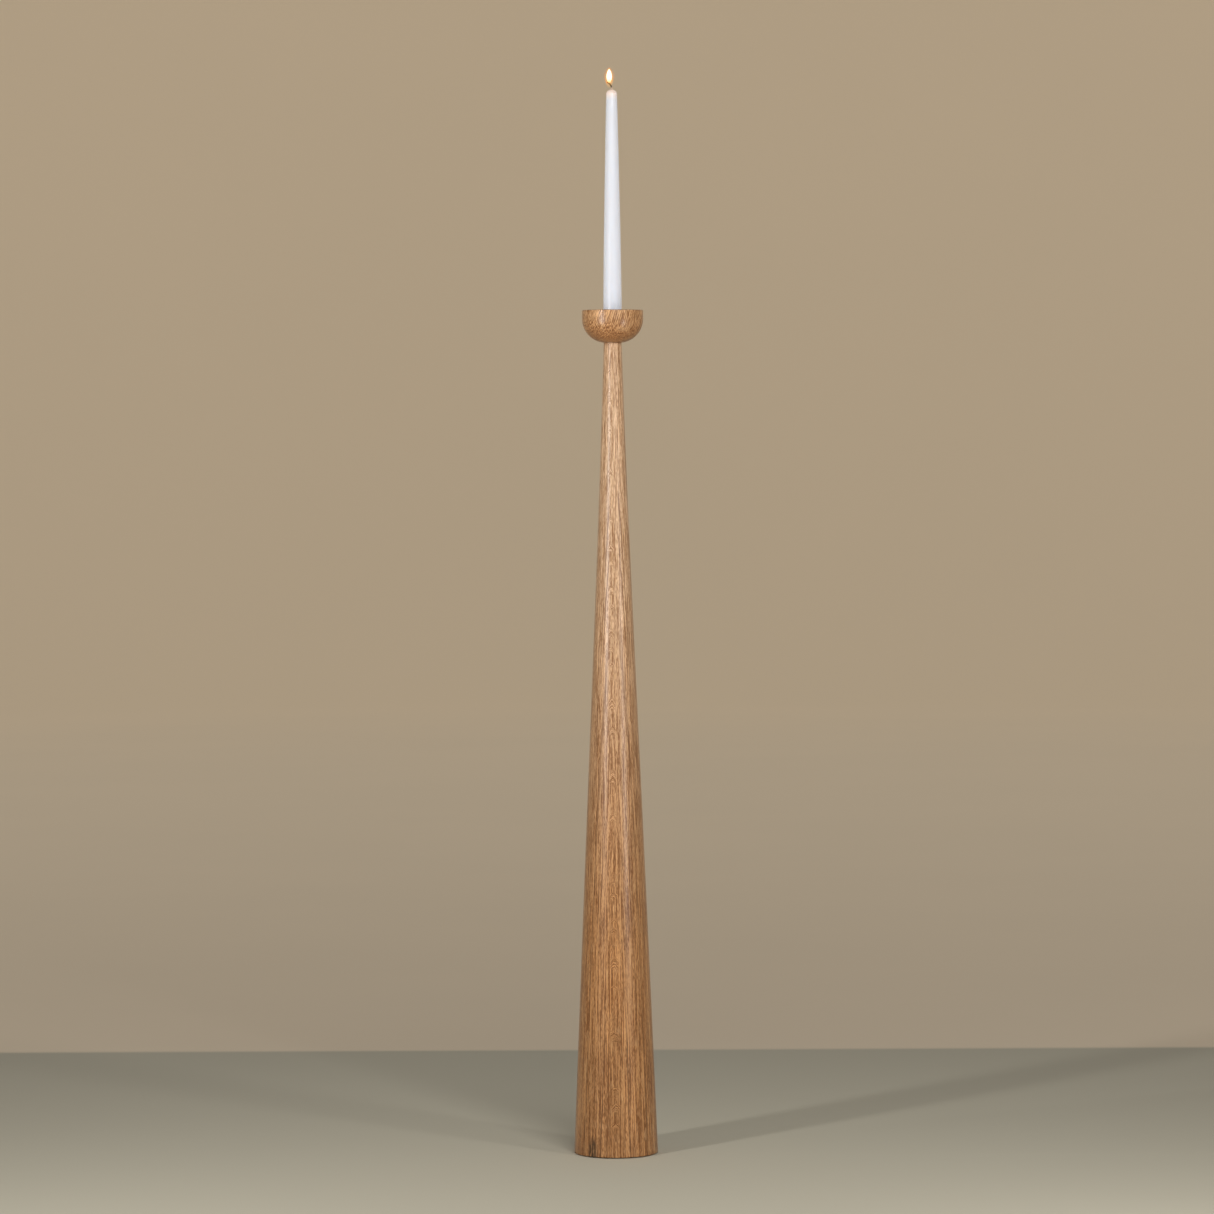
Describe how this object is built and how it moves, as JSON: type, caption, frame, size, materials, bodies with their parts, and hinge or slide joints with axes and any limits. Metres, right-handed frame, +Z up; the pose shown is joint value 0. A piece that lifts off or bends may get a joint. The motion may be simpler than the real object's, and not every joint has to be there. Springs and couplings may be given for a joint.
{
  "type": "floor candlestick",
  "caption": "Tall slender turned oak candlestick: a tapering column on a round base carries a round cup with a drop-in brass insert and a lift-out taper candle.",
  "frame": {"origin": "middle of the base, on the floor, at the felt's underside", "axes": "+Z up along the column's axis; the wick bends towards -X; -Y is the side looked at"},
  "size_m": [0.0993, 0.0994, 1.269],
  "materials": {
    "oak": "turned oak, oiled, silky matt",
    "brass": "turned, satin",
    "steel": "zinc plated, dull",
    "felt": "pressed wool felt",
    "wax": "white stearin wax, smooth",
    "wick": "braided cotton, charred at its end"
  },
  "bodies": {
    "stand": {"column": "oak", "cup": "oak", "cup_bolt": "steel", "threaded_insert": "brass", "ballast_disc": "steel", "ballast_screws": "steel", "felt_disc": "felt"},
    "insert": {"candle_insert": "brass"},
    "candle": {"candle": "wax", "wick": "wick"}
  },
  "joints": [
    {"name": "insert_lift", "type": "slide", "parent": "stand", "child": "insert", "axis": [0, 0, 1], "range_m": [0, 0.045]},
    {"name": "candle_lift", "type": "slide", "parent": "insert", "child": "candle", "axis": [0, 0, 1], "range_m": [0, 0.045]}
  ]
}
